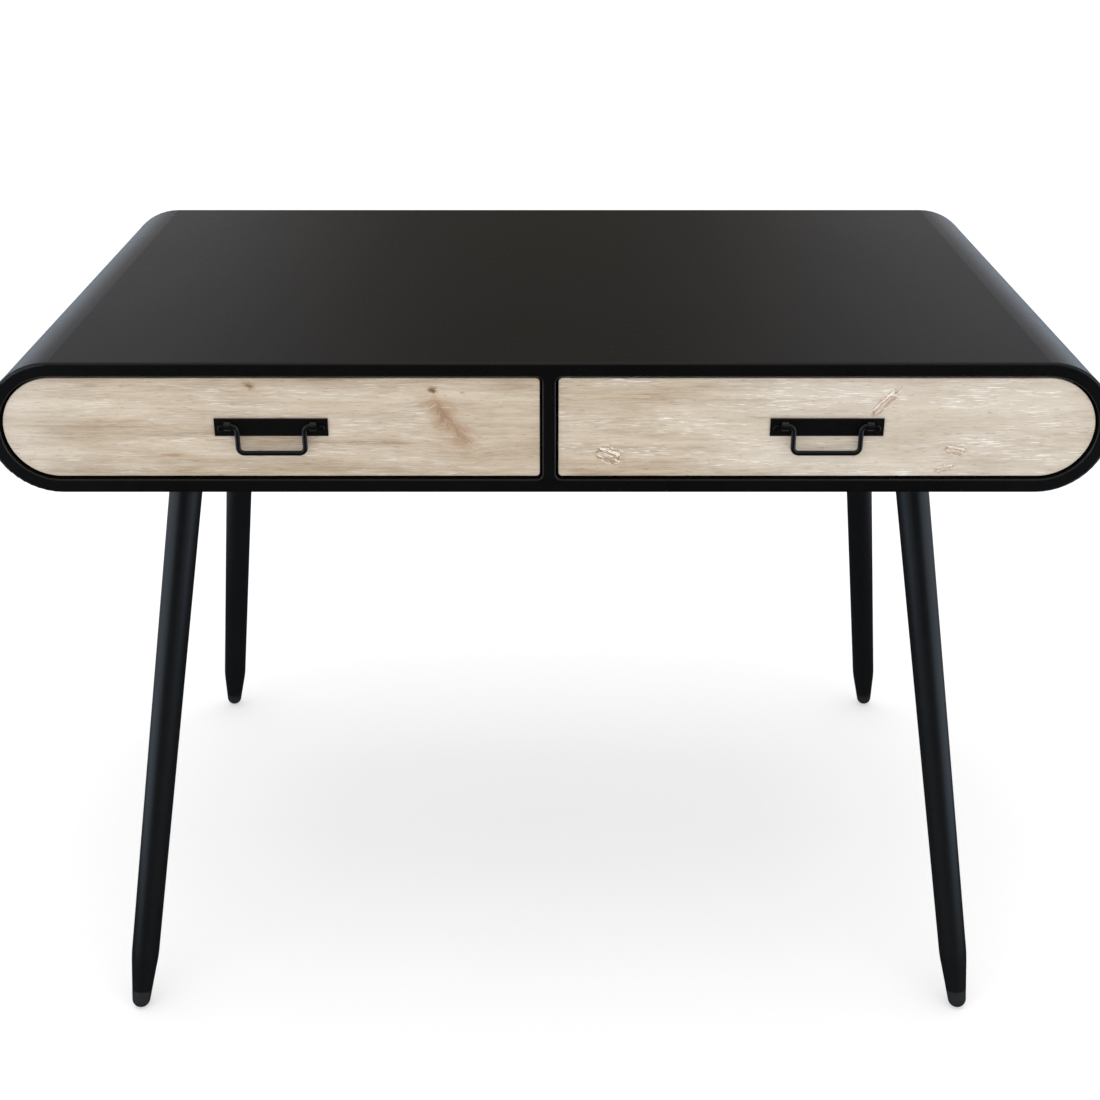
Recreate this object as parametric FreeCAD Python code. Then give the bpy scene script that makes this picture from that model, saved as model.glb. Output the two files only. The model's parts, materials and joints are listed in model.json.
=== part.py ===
"""Writing desk: a steel-skinned case with rounded ends on four splayed tube legs, and two drawers on ball slides.

Millimetres. X runs along the desk, -Y is the front, +Z is up, and the origin is on the floor under the middle.
Each sub-part is written to parts/NODE.step.
"""
import FreeCAD, Part

import math
import os

from FreeCAD import Placement, Rotation, Vector

# ---------------------------------------------------------------- overall
desk_width = 1100.0
desk_depth = 600.0
desk_height = 760.0
case_height = 136.0          # rounded ends are half circles of this diameter

# ---------------------------------------------------------------- case
sheet = 1.2                  # steel gauge of the skin and the two end frames
band_width = 14.0            # flat band round the front openings
edge_round = 3.0             # pressed outer edge of an end frame
lip_round = 1.8              # pressed edge of its openings
frame_return = 12.0          # how far an end frame turns back along the skin
front_flange = 25.0          # how far its openings turn back into the case
rear_flange = 12.0
mullion_width = 13.0         # bar between the two drawer openings
upright = 12.0               # thickness of the three upright panels
back_thickness = 3.0
back_clearance = 0.3         # back panel inside the rear frame

# ---------------------------------------------------------------- legs
leg_top_inset_x = 165.0      # leg axis at the case's underside, in from the case's end
leg_top_inset_y = 143.0      # and in from the case's front or back
front_leg_splay_x = 77.0     # how far the foot stands outside the top
rear_leg_splay_x = 89.0      # the rear pair stands a little wider
leg_splay_y = 169.0
leg_top_radius = 17.8
leg_low_radius = 15.0        # where the tip begins
leg_tip_length = 62.0
leg_tip_radius = 10.0
leg_blend_radius = 160.0     # softens the shoulder of the tip
leg_wall = 1.5
glide_height = 21.0          # plastic end of the leg
glide_plug = 14.0            # its spigot inside the tube
glide_flat = 4.0             # radius of the flat that rests on the floor
plate_side = 90.0
plate_thickness = 4.0
plate_corner = 8.0
plate_screw_pitch = 70.0

# ---------------------------------------------------------------- drawers
front_thickness = 18.0
front_recess = 4.0           # drawer front behind the band
front_gap = 2.5              # all round the drawer front
front_corner = 4.0
front_edge_round = 1.0
box_board = 12.0
box_floor_gap = 8.0          # box above the lower edge of the opening
box_top_gap = 18.0           # and below its upper edge
box_back_gap = 66.0          # free depth behind the box
bottom_thickness = 4.0
bottom_rise = 8.0            # drawer bottom above the box's lower edge
groove_depth = 6.0
groove_slack = 0.3

# ---------------------------------------------------------------- slides
slide_space = 12.7           # between the box and the upright
rail_height = 35.0
rail_sheet = 1.2
rail_set_back = 3.0          # rail behind the front frame
rail_back_gap = 60.0         # free depth behind the rail
rail_drop = 12.0             # rail axis under the middle of the case
inner_rail_height = 21.0
cabinet_rail_width = 10.0
drawer_rail_clear = 4.0      # between the upright and the drawer rail's edge
rail_lip = 2.0
ball_clearance = 0.15
cage_length = 140.0
cage_sheet = 0.6
ball_count = 6

# ---------------------------------------------------------------- handles
handle_length = 111.0
handle_height = 18.0
handle_rise = 1.0            # plate above the middle of the drawer front
handle_sheet = 2.0
knuckle_radius = 4.3
knuckle_length = 6.5
knuckle_standoff = 3.9       # pivot in front of the plate
pivot_rise = 2.5             # pivot above the middle of the plate
pivot_clearance = 0.08
wire_radius = 2.5
bail_span = 65.6             # between the centres of the bail's two legs
bail_drop = 28.0
bail_corner = 6.0
bail_elbow = 5.0
bail_side_gap = 0.5
pin_overhang = 0.7
handle_screw_inset = 6.5
handle_screw_drop = 1.0

# ---------------------------------------------------------------- screws
screw_slack = 0.05           # round a shank in its hole
rail_screw_spread = 0.4      # outer screws from a rail's middle, as a share of its length
back_screw_spread = 0.62     # back panel screws above and below the middle, as a share of the opening's radius
front_screw_spread = 0.36    # front screws from the middle of the box, as a share of its width
head_round = 0.6             # share of a head's height that is rounded
cross_width = 0.22           # the cross in a head, as shares of the head's radius
cross_reach = 0.62
cross_depth = 0.5            # and of its height
plate_screw = dict(radius=2.5, head=5.5, head_height=3.0, length=15.0)
rail_screw = dict(radius=1.75, head=3.2, head_height=1.8, length=9.0)
front_screw = dict(radius=2.0, head=4.0, head_height=2.0, length=20.0)
handle_screw = dict(radius=1.7, head=3.6, head_height=1.8, length=12.0)
back_screw = dict(radius=1.75, head=3.5, head_height=1.8, length=18.0)

# ---------------------------------------------------------------- derived places
front_y = -desk_depth / 2
back_y = desk_depth / 2
case_radius = case_height / 2
arc_x = desk_width / 2 - case_radius
mid_z = desk_height - case_radius
case_floor_z = desk_height - case_height
opening_radius = case_radius - band_width
bay_half = opening_radius + sheet           # half the height between the boards
upright_front_y = front_y + front_flange
upright_back_y = back_y - rear_flange
side_face_x = arc_x - upright               # face of a side panel that carries a rail
centre_face_x = upright / 2

drawer_face_y = front_y + front_recess
box_front_y = drawer_face_y + front_thickness
box_back_y = upright_back_y - box_back_gap
box_floor_z = mid_z - opening_radius + box_floor_gap
box_top_z = mid_z + opening_radius - box_top_gap
box_inner_x = centre_face_x + slide_space
box_outer_x = side_face_x - slide_space
bottom_z = box_floor_z + bottom_rise
handle_x = (mullion_width / 2 + arc_x + opening_radius) / 2

rail_front_y = upright_front_y + rail_set_back
rail_length = upright_back_y - rail_back_gap - rail_front_y
rail_z = mid_z - rail_drop
cage_front_y = rail_front_y + (rail_length - cage_length) / 2

pivot_y = drawer_face_y - handle_sheet - knuckle_standoff
plate_z = mid_z + handle_rise
pivot_z = plate_z + pivot_rise

SIDES = (("left", -1), ("right", 1))
UP = Vector(0, 0, 1)


# ---------------------------------------------------------------- helpers
def block(x0, x1, y0, y1, z0, z1):
    """A box between two corners, given in any order."""
    low = Vector(min(x0, x1), min(y0, y1), min(z0, z1))
    return Part.makeBox(abs(x1 - x0), abs(y1 - y0), abs(z1 - z0), low)


def rod(start, along, radius, length):
    return Part.makeCylinder(radius, length, start, along)


def loop(points, arcs=()):
    """A closed wire through points; arcs maps the index of a span to the point its arc passes through."""
    arcs = dict(arcs)
    edges = []
    for i, start in enumerate(points):
        end = points[(i + 1) % len(points)]
        if i in arcs:
            edges.append(Part.Arc(start, arcs[i], end).toShape())
        else:
            edges.append(Part.LineSegment(start, end).toShape())
    return Part.Wire(edges)


def stadium(radius, y0, y1):
    """The case's outline at this radius round the two end centres, as a solid from y0 to y1."""
    top, low = mid_z + radius, mid_z - radius
    wire = loop(
        [Vector(-arc_x, y0, top), Vector(arc_x, y0, top), Vector(arc_x, y0, low), Vector(-arc_x, y0, low)],
        {1: Vector(arc_x + radius, y0, mid_z), 3: Vector(-arc_x - radius, y0, mid_z)},
    )
    return Part.Face(wire).extrude(Vector(0, y1 - y0, 0))


def bay(grow, y0, y1):
    """The right drawer opening, grown by grow: small corners at the mullion, a half circle at the desk's end."""
    half = opening_radius + grow
    r = front_corner + front_gap + grow
    nick = r * (1 - math.sqrt(0.5))
    x0, top, low = mullion_width / 2 - grow, mid_z + half, mid_z - half
    wire = loop(
        [
            Vector(x0 + r, y0, top), Vector(arc_x, y0, top), Vector(arc_x, y0, low),
            Vector(x0 + r, y0, low), Vector(x0, y0, low + r), Vector(x0, y0, top - r),
        ],
        {
            1: Vector(arc_x + half, y0, mid_z),
            3: Vector(x0 + nick, y0, low + nick),
            5: Vector(x0 + nick, y0, top - nick),
        },
    )
    return Part.Face(wire).extrude(Vector(0, y1 - y0, 0))


def screw(kind, head_seat, into):
    """A pan-head screw: head_seat is where the head bears, and into points down the shank."""
    shank = rod(head_seat, into, kind["radius"], kind["length"])
    dome = rod(head_seat, into * -1, kind["head"], kind["head_height"])
    edges = [e for e in dome.Edges if abs((e.CenterOfMass - head_seat).dot(into)) > kind["head_height"] / 2]
    rims = [e for e in edges if len(e.Vertexes) == 1]
    dome = dome.makeFillet(kind["head_height"] * head_round, rims)
    return cross_recess(dome.fuse(shank), kind, head_seat, into)


def cross_recess(body, kind, head_seat, into):
    """Cuts a cross into the head."""
    width, reach = kind["head"] * cross_width, kind["head"] * cross_reach
    depth = kind["head_height"] * cross_depth
    top = head_seat - into * kind["head_height"]
    cutter = None
    for turn in (45, 135):
        bar = Part.makeBox(2 * reach, width, 2 * depth, Vector(-reach, -width / 2, -depth))
        bar.rotate(Vector(0, 0, 0), UP, turn)
        cutter = bar if cutter is None else cutter.fuse(bar)
    cutter.Placement = Placement(top, Rotation(UP, into))
    return body.cut(cutter)


def bored(body, kind, places, into):
    """Cuts a hole for each screw's shank."""
    for place in places:
        hole = rod(place, into, kind["radius"] + screw_slack, kind["length"] + screw_slack)
        body = body.cut(hole)
    return body


def mirrored(shape):
    return shape.mirror(Vector(0, 0, 0), Vector(1, 0, 0))


def save(name, *shapes):
    shape = shapes[0] if len(shapes) == 1 else Part.makeCompound(list(shapes))
    solids = shape.Solids
    if not solids or not all(s.isValid() and s.Volume > 0 for s in solids):
        raise RuntimeError(name + " is not a closed solid")
    shape = solids[0] if len(solids) == 1 else Part.makeCompound(solids)
    shape.exportStep("parts/" + name + ".step")


# ---------------------------------------------------------------- legs
def leg_ends(sx, sy):
    """Where a leg's axis meets the case's underside and the floor."""
    top_x = desk_width / 2 - leg_top_inset_x
    top_y = desk_depth / 2 - leg_top_inset_y
    splay_x = front_leg_splay_x if sy < 0 else rear_leg_splay_x
    top = Vector(sx * top_x, sy * top_y, case_floor_z)
    foot = Vector(sx * (top_x + splay_x), sy * (top_y + leg_splay_y), 0)
    return top, foot


def leg_outline():
    """The leg's outer line as (radius, distance from the floor along the axis), for the longer rear legs."""
    top, foot = leg_ends(1, 1)
    length = (top - foot).Length
    tilt = math.acos(top.z / length)
    centre = math.sqrt(leg_tip_radius ** 2 - glide_flat ** 2) / math.cos(tilt)
    flare = math.atan2(leg_low_radius - leg_tip_radius, leg_tip_length - centre)
    for _ in range(20):
        cheek = leg_tip_radius * math.cos(flare)
        start = centre - leg_tip_radius * math.sin(flare)
        flare = math.atan2(leg_low_radius - cheek, leg_tip_length - start)
    return dict(length=length, tilt=tilt, centre=centre, cheek=cheek, start=start, flare=flare)


def leg_radius(s, line):
    """Outer radius at a distance s along the axis, between the tip's ball and its shoulder."""
    return line["cheek"] + (s - line["start"]) * math.tan(line["flare"])


def shoulder(line, offset):
    """The soft shoulder between the tip and the shaft: (start, middle, end) of its arc, moved in by offset."""
    shaft = math.atan2(leg_top_radius - leg_low_radius, line["length"] - leg_tip_length)
    half = (line["flare"] - shaft) / 2
    reach = leg_blend_radius * math.tan(half)
    corner = Vector(leg_low_radius - offset, 0, leg_tip_length)
    down = Vector(-math.sin(line["flare"]), 0, -math.cos(line["flare"]))
    up = Vector(math.sin(shaft), 0, math.cos(shaft))
    middle_in = leg_blend_radius * (1 / math.cos(half) - 1)
    bend = (line["flare"] + shaft) / 2
    inward = Vector(-math.cos(bend), 0, math.sin(bend))
    return corner + down * reach, corner + inward * middle_in, corner + up * reach


def turned(wire_points, arcs):
    """Revolves a closed outline about the leg's axis."""
    face = Part.Face(loop(wire_points, arcs))
    return face.revolve(Vector(0, 0, 0), UP, 360)


def leg_parts():
    """One leg tube and its glide, standing along +Z with the floor point of the axis at the origin."""
    line = leg_outline()
    over = line["length"] + 2 * leg_top_radius
    shaft_tan = (leg_top_radius - leg_low_radius) / (line["length"] - leg_tip_length)
    top_r = leg_low_radius + (over - leg_tip_length) * shaft_tan
    split_r = leg_radius(glide_height, line)
    outer_low, outer_mid, outer_high = shoulder(line, 0)
    inner_low, inner_mid, inner_high = shoulder(line, leg_wall)
    tube = turned(
        [
            Vector(split_r, 0, glide_height), outer_low, outer_high, Vector(top_r, 0, over),
            Vector(top_r - leg_wall, 0, over), inner_high, inner_low,
            Vector(split_r - leg_wall, 0, glide_height),
        ],
        {1: outer_mid, 5: inner_mid},
    )
    ball_low = Vector(0, 0, line["centre"] - leg_tip_radius)
    ball_side = Vector(line["cheek"], 0, line["start"])
    sweep = (math.pi / 2 - line["flare"]) / 2
    ball_mid = Vector(leg_tip_radius * math.sin(sweep), 0, line["centre"] - leg_tip_radius * math.cos(sweep))
    plug_r = split_r - leg_wall - 2 * pivot_clearance
    plug_top = glide_height + glide_plug
    glide = turned(
        [
            ball_low, ball_side, Vector(split_r, 0, glide_height), Vector(plug_r, 0, glide_height),
            Vector(plug_r, 0, plug_top), Vector(0, 0, plug_top),
        ],
        {0: ball_mid},
    )
    return tube, glide


def place_leg(shape, top, foot):
    """Stands a leg piece from foot towards top, cut off under the leg plate and at the floor."""
    stood = shape.copy()
    stood.Placement = Placement(foot, Rotation(UP, (top - foot).normalize()))
    reach = 4 * leg_top_radius + rear_leg_splay_x + leg_splay_y
    ceiling = case_floor_z - plate_thickness
    room = block(foot.x - reach, foot.x + reach, foot.y - reach, foot.y + reach, 0, ceiling)
    return stood.common(room)


def plate_screw_places(top):
    half = plate_screw_pitch / 2
    z = case_floor_z - plate_thickness
    return [Vector(top.x + i * half, top.y + j * half, z) for i in (-1, 1) for j in (-1, 1)]


def leg_plate(top):
    half = plate_side / 2
    z = case_floor_z - plate_thickness
    plate = block(top.x - half, top.x + half, top.y - half, top.y + half, z, case_floor_z)
    posts = [e for e in plate.Edges if abs(e.tangentAt(e.FirstParameter).z) > 0.9]
    plate = plate.makeFillet(plate_corner, posts)
    return bored(plate, plate_screw, plate_screw_places(top), UP)


def make_legs():
    tube, glide = leg_parts()
    screws = []
    for depth_name, sy in (("front", -1), ("rear", 1)):
        top, foot = leg_ends(-1, sy)
        pieces = {"leg": place_leg(tube, top, foot), "glide": place_leg(glide, top, foot)}
        pieces["leg_plate"] = leg_plate(top)
        for piece, shape in pieces.items():
            save(depth_name + "_left_" + piece, shape)
            save(depth_name + "_right_" + piece, mirrored(shape))
        left = [screw(plate_screw, p, UP) for p in plate_screw_places(top)]
        screws += left + [mirrored(s) for s in left]
    save("leg_plate_screws", *screws)


def all_plate_screw_places():
    found = []
    for sy in (-1, 1):
        for _, sx in SIDES:
            found += plate_screw_places(leg_ends(sx, sy)[0])
    return found


# ---------------------------------------------------------------- case
def front_openings(grow, y0, y1):
    right = bay(grow, y0, y1)
    return [right, mirrored(right)]


def rear_openings(grow, y0, y1):
    return [stadium(opening_radius + grow, y0, y1)]


def face_edges(body, y_face):
    """(edge, how far it reaches above or below the middle of the case) for the edges in the plane y_face."""
    found = []
    for edge in body.Edges:
        box = edge.BoundBox
        if abs(box.YMin - y_face) < 0.01 and abs(box.YMax - y_face) < 0.01:
            found.append((edge, max(box.ZMax - mid_z, mid_z - box.ZMin)))
    return found


def pan(inset, y_face, depth, openings):
    """A solid from y_face with rounded edges: the case's outline less its openings, inset all round."""
    body = stadium(case_radius - inset, y_face, y_face + depth)
    body = body.makeFillet(edge_round - inset, [e for e, _ in face_edges(body, y_face)])
    for opening in openings(inset, y_face, y_face + depth):
        body = body.cut(opening)
    lips = [e for e, reach in face_edges(body, y_face) if reach < opening_radius + inset + 0.01]
    return body.makeFillet(lip_round - inset, lips)


def end_frame(y_face, inward, flange, openings):
    """The pressing that closes one end of the skin; inward is +1 or -1 along Y."""
    body = pan(0, y_face, inward * flange, openings)
    hollow = pan(sheet, y_face + inward * sheet, inward * flange, openings)
    past_return = y_face + inward * frame_return
    outside = stadium(case_radius + sheet, past_return, past_return + inward * flange)
    outside = outside.cut(stadium(opening_radius + sheet, past_return, past_return + inward * flange))
    return body.cut(hollow).cut(outside)


def rail_screw_rows():
    """Where the three screws of a rail sit along the slide."""
    pitch = rail_length * rail_screw_spread
    middle = rail_front_y + rail_length / 2
    return [middle - pitch, middle, middle + pitch]


def case_boards():
    y0, y1 = front_y + edge_round, back_y - edge_round
    top = block(-arc_x, arc_x, y0, y1, mid_z + bay_half, desk_height - sheet)
    low = block(-arc_x, arc_x, y0, y1, case_floor_z + sheet, mid_z - bay_half)
    return top, bored(low, plate_screw, all_plate_screw_places(), UP)


def upright_panel(x_face, toward, rail_faces):
    """A panel from x_face, toward +1 or -1, with pilot holes for the rails on each face in rail_faces."""
    panel = block(x_face, x_face + toward * upright, upright_front_y, upright_back_y,
                  mid_z - bay_half, mid_z + bay_half)
    for face_x, into in rail_faces:
        depth = min(rail_screw["length"] - rail_sheet, upright / 2 - 2 * screw_slack)
        for y in rail_screw_rows():
            start = Vector(face_x, y, rail_z)
            panel = panel.cut(rod(start, Vector(into, 0, 0), rail_screw["radius"] + screw_slack,
                                  depth + screw_slack))
    for z in back_screw_heights():
        middle = x_face + toward * upright / 2
        start = Vector(middle, upright_back_y, z)
        depth = back_screw["length"] - back_thickness + screw_slack
        panel = panel.cut(rod(start, Vector(0, -1, 0), back_screw["radius"] + screw_slack, depth))
    return panel


def back_screw_heights():
    reach = opening_radius * back_screw_spread
    return (mid_z - reach, mid_z + reach)


def back_screw_places():
    columns = (-side_face_x - upright / 2, 0, side_face_x + upright / 2)
    y = upright_back_y + back_thickness
    return [Vector(x, y, z) for x in columns for z in back_screw_heights()]


def make_case():
    y0, y1 = front_y + frame_return, back_y - frame_return
    skin = stadium(case_radius, y0, y1).cut(stadium(case_radius - sheet, y0, y1))
    save("outer_skin", bored(skin, plate_screw, all_plate_screw_places(), UP))
    save("front_frame", end_frame(front_y, 1, front_flange, front_openings))
    save("rear_frame", end_frame(back_y, -1, rear_flange, rear_openings))
    top, low = case_boards()
    save("top_board", top)
    save("bottom_board", low)
    save("centre_panel", upright_panel(-centre_face_x, 1, ((-centre_face_x, 1), (centre_face_x, -1))))
    for side, sx in SIDES:
        face_x = sx * side_face_x
        save(side + "_side_panel", upright_panel(face_x, sx, ((face_x, sx),)))
    back = stadium(opening_radius - back_clearance, upright_back_y, upright_back_y + back_thickness)
    save("back_panel", bored(back, back_screw, back_screw_places(), Vector(0, -1, 0)))
    save("back_panel_screws", *[screw(back_screw, p, Vector(0, -1, 0)) for p in back_screw_places()])


# ---------------------------------------------------------------- slides
def cabinet_rail():
    """A rail with its web on x = 0 and its open side towards +X; Y is along the slide and z = 0 its axis."""
    half = rail_height / 2
    y0, y1 = rail_front_y, rail_front_y + rail_length
    rail = block(0, cabinet_rail_width, y0, y1, -half, half)
    rail = rail.cut(block(rail_sheet, cabinet_rail_width, y0, y1, -half + rail_sheet, half - rail_sheet))
    for sz in (-1, 1):
        edge = half - rail_sheet
        lip_x = cabinet_rail_width - rail_sheet
        lip = block(lip_x, cabinet_rail_width, y0, y1, sz * (edge - rail_lip), sz * edge)
        rail = rail.fuse(lip)
    rail = rail.removeSplitter()
    for y in rail_screw_rows():
        rail = rail.cut(flush_cone(y, screw_slack))
        hole = rod(Vector(-rail_sheet, y, 0), Vector(1, 0, 0), rail_screw["radius"] + screw_slack, 3 * rail_sheet)
        rail = rail.cut(hole)
    return rail


def flush_cone(y, slack):
    """The countersunk head of a cabinet rail's screw: it fills the web's thickness."""
    wide = rail_screw["head"] + slack
    narrow = rail_screw["radius"] + slack
    return Part.makeCone(narrow, wide, rail_sheet, Vector(0, y, 0), Vector(1, 0, 0))


def cabinet_rail_screws():
    """Countersunk screws through a cabinet rail's web, pointing -X into the upright."""
    depth = min(rail_screw["length"] - rail_sheet, upright / 2 - 2 * screw_slack)
    made = []
    for y in rail_screw_rows():
        shank = rod(Vector(-depth, y, 0), Vector(1, 0, 0), rail_screw["radius"], depth)
        made.append(shank.fuse(flush_cone(y, 0)))
    return made


def drawer_rail():
    """The rail that rides inside: its web bears on the box at x = slide_space and its flanges point to -X."""
    half = inner_rail_height / 2
    y0, y1 = rail_front_y, rail_front_y + rail_length
    x0, x1 = drawer_rail_clear, slide_space
    rail = block(x0, x1, y0, y1, -half, half)
    rail = rail.cut(block(x0, x1 - rail_sheet, y0, y1, -half + rail_sheet, half - rail_sheet))
    for y in rail_screw_rows():
        hole = rod(Vector(x0, y, 0), Vector(1, 0, 0), rail_screw["radius"] + screw_slack, x1 - x0)
        rail = rail.cut(hole)
    return rail


def ball_cage():
    """A retainer strip with its flanges between the two rails, and a row of balls in each flange."""
    track_low = inner_rail_height / 2
    track_high = rail_height / 2 - rail_sheet
    ball_radius = (track_high - track_low) / 2 - ball_clearance
    row_z = (track_low + track_high) / 2
    row_x = rail_sheet + cage_sheet + ball_radius + 1.0
    y0, y1 = cage_front_y, cage_front_y + cage_length
    web_x = row_x - ball_radius - cage_sheet - ball_clearance
    web = block(web_x, web_x + cage_sheet, y0, y1, -row_z, row_z)
    pitch = cage_length / ball_count
    balls = []
    for sz in (-1, 1):
        z = sz * row_z
        flange = block(web_x, row_x + ball_radius, y0, y1, z - cage_sheet / 2, z + cage_sheet / 2)
        web = web.fuse(flange)
    web = web.removeSplitter()
    for sz in (-1, 1):
        for i in range(ball_count):
            spot = Vector(row_x, y0 + (i + 0.5) * pitch, sz * row_z)
            web = web.cut(rod(spot - UP * ball_radius, UP, ball_radius + ball_clearance / 2, 2 * ball_radius))
            balls.append(Part.makeSphere(ball_radius, spot))
    return [web] + balls


def stand_slide(shape, face_x, toward):
    """Moves a slide piece to an upright's face, with its open side towards the drawer."""
    piece = shape if toward > 0 else mirrored(shape)
    piece = piece.copy()
    piece.translate(Vector(face_x, 0, rail_z))
    return piece


def slide_places(sx):
    """(name, face of the upright, direction towards the box) of a drawer's two slides."""
    return (("inner", sx * centre_face_x, sx), ("outer", sx * side_face_x, -sx))


def make_slides():
    screws = []
    for side, sx in SIDES:
        for place, face_x, toward in slide_places(sx):
            name = side + "_" + place
            save(name + "_cabinet_rail", stand_slide(cabinet_rail(), face_x, toward))
            save(name + "_drawer_rail", stand_slide(drawer_rail(), face_x, toward))
            save(name + "_ball_cage", *[stand_slide(p, face_x, toward) for p in ball_cage()])
            screws += [stand_slide(s, face_x, toward) for s in cabinet_rail_screws()]
    save("cabinet_rail_screws", *screws)


# ---------------------------------------------------------------- drawers (made for the right side, then mirrored)
def front_screw_places():
    middle_x = (box_inner_x + box_outer_x) / 2
    middle_z = (bottom_z + box_top_z) / 2
    reach_x, reach_z = (box_outer_x - box_inner_x) * front_screw_spread, (box_top_z - box_floor_z) / 4
    return [Vector(middle_x + i * reach_x, box_front_y + box_board, middle_z + j * reach_z)
            for i in (-1, 1) for j in (-1, 1)]


def handle_screw_places():
    reach = handle_length / 2 - handle_screw_inset
    y = drawer_face_y - handle_sheet
    return [Vector(handle_x + i * reach, y, plate_z - handle_screw_drop) for i in (-1, 1)]


def drawer_front():
    """Solid wood front, the shape of its opening."""
    y = drawer_face_y
    front = bay(-front_gap, y, y + front_thickness)
    front = front.makeFillet(front_edge_round, [e for e, _ in face_edges(front, y)])
    front = bored(front, front_screw, front_screw_places(), Vector(0, -1, 0))
    return bored(front, handle_screw, handle_screw_places(), Vector(0, 1, 0))


def groove(x0, x1, y0, y1):
    """The slot that the drawer bottom slides into."""
    return block(x0, x1, y0, y1, bottom_z, bottom_z + bottom_thickness + groove_slack)


def box_parts():
    """The drawer box's five boards by name."""
    z0, z1 = box_floor_z, box_top_z
    in0, in1 = box_inner_x + box_board, box_outer_x - box_board
    y0, y1 = box_front_y + box_board, box_back_y - box_board
    cut = groove(in0 - groove_depth, in1 + groove_depth, y0 - groove_depth, y1 + groove_depth)
    inner = block(box_inner_x, in0, box_front_y, box_back_y, z0, z1).cut(cut)
    outer = block(in1, box_outer_x, box_front_y, box_back_y, z0, z1).cut(cut)
    front = block(in0, in1, box_front_y, y0, z0, z1).cut(cut)
    back = block(in0, in1, y1, box_back_y, z0, z1).cut(cut)
    front = bored(front, front_screw, front_screw_places(), Vector(0, -1, 0))
    depth = rail_screw["length"] - rail_sheet
    for y in rail_screw_rows():
        hole = rail_screw["radius"] + screw_slack
        inner = inner.cut(rod(Vector(box_inner_x, y, rail_z), Vector(1, 0, 0), hole, depth + screw_slack))
        outer = outer.cut(rod(Vector(box_outer_x, y, rail_z), Vector(-1, 0, 0), hole, depth + screw_slack))
    reach = groove_depth - groove_slack
    bottom = block(in0 - reach, in1 + reach, y0 - reach, y1 + reach, bottom_z, bottom_z + bottom_thickness)
    return {
        "box_inner_side": inner, "box_outer_side": outer, "box_front": front, "box_back": back, "bottom": bottom,
    }


def drawer_rail_screws():
    """Pan-head screws from inside each drawer rail into the box's sides."""
    made = []
    for y in rail_screw_rows():
        inner_seat = Vector(box_inner_x - rail_sheet, y, rail_z)
        outer_seat = Vector(box_outer_x + rail_sheet, y, rail_z)
        made += [screw(rail_screw, inner_seat, Vector(1, 0, 0)), screw(rail_screw, outer_seat, Vector(-1, 0, 0))]
    return made


def knuckle_span():
    """The inner and outer ends of a knuckle, measured from the middle of the handle."""
    start = bail_span / 2 + bail_elbow + bail_side_gap
    return start, start + knuckle_length


def handle_plate():
    """The back plate and its two rolled knuckles."""
    y_back = drawer_face_y
    y_face = y_back - handle_sheet
    half_x, half_z = handle_length / 2, handle_height / 2
    plate = block(handle_x - half_x, handle_x + half_x, y_face, y_back, plate_z - half_z, plate_z + half_z)
    start, end = knuckle_span()
    for sx in (-1, 1):
        first = min(sx * start, sx * end)
        place = Vector(handle_x + first, pivot_y, pivot_z)
        barrel = rod(place, Vector(1, 0, 0), knuckle_radius, knuckle_length)
        end_x = place.x + knuckle_length
        bridge = block(place.x, end_x, pivot_y, y_face, pivot_z - wire_radius, pivot_z + wire_radius)
        plate = plate.fuse(barrel).fuse(bridge)
    for sx in (-1, 1):
        first = min(sx * start, sx * end)
        place = Vector(handle_x + first - 1, pivot_y, pivot_z)
        plate = plate.cut(rod(place, Vector(1, 0, 0), wire_radius + pivot_clearance, knuckle_length + 2))
    plate = plate.removeSplitter()
    return bored(plate, handle_screw, handle_screw_places(), Vector(0, 1, 0))


def bail():
    """The bent-wire pull, hanging: two pins in the knuckles, two elbows, two legs and the grip."""
    half = bail_span / 2
    pin = knuckle_span()[1] + pin_overhang
    low = pivot_z - bail_drop
    bend = 1 - math.sqrt(0.5)

    def at(x, z):
        return Vector(handle_x + x, pivot_y, z)

    def side(sx):
        """Points of one half, from the pin's end to the grip, with the middle of each bend."""
        elbow_mid = at(sx * (half + bail_elbow * bend), pivot_z - bail_elbow * bend)
        corner_mid = at(sx * (half - bail_corner * bend), low + bail_corner * bend)
        return [
            at(sx * pin, pivot_z), at(sx * (half + bail_elbow), pivot_z), elbow_mid,
            at(sx * half, pivot_z - bail_elbow), at(sx * half, low + bail_corner), corner_mid,
            at(sx * (half - bail_corner), low),
        ]

    a, b = side(-1), side(1)
    edges = [
        Part.LineSegment(a[0], a[1]), Part.Arc(a[1], a[2], a[3]), Part.LineSegment(a[3], a[4]),
        Part.Arc(a[4], a[5], a[6]), Part.LineSegment(a[6], b[6]), Part.Arc(b[6], b[5], b[4]),
        Part.LineSegment(b[4], b[3]), Part.Arc(b[3], b[2], b[1]), Part.LineSegment(b[1], b[0]),
    ]
    path = Part.Wire([e.toShape() for e in edges])
    section = Part.Wire([Part.Circle(a[0], Vector(1, 0, 0), wire_radius).toShape()])
    return path.makePipeShell([section], True, True)


def make_drawers():
    pieces = {"drawer_front": [drawer_front()], "handle_plate": [handle_plate()], "bail": [bail()]}
    for name, shape in box_parts().items():
        pieces["drawer_" + name] = [shape]
    pieces["front_screws"] = [screw(front_screw, p, Vector(0, -1, 0)) for p in front_screw_places()]
    pieces["handle_screws"] = [screw(handle_screw, p, Vector(0, 1, 0)) for p in handle_screw_places()]
    pieces["drawer_rail_screws"] = drawer_rail_screws()
    for side, sx in SIDES:
        for name, shapes in pieces.items():
            save(side + "_" + name, *[s if sx > 0 else mirrored(s) for s in shapes])


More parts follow.
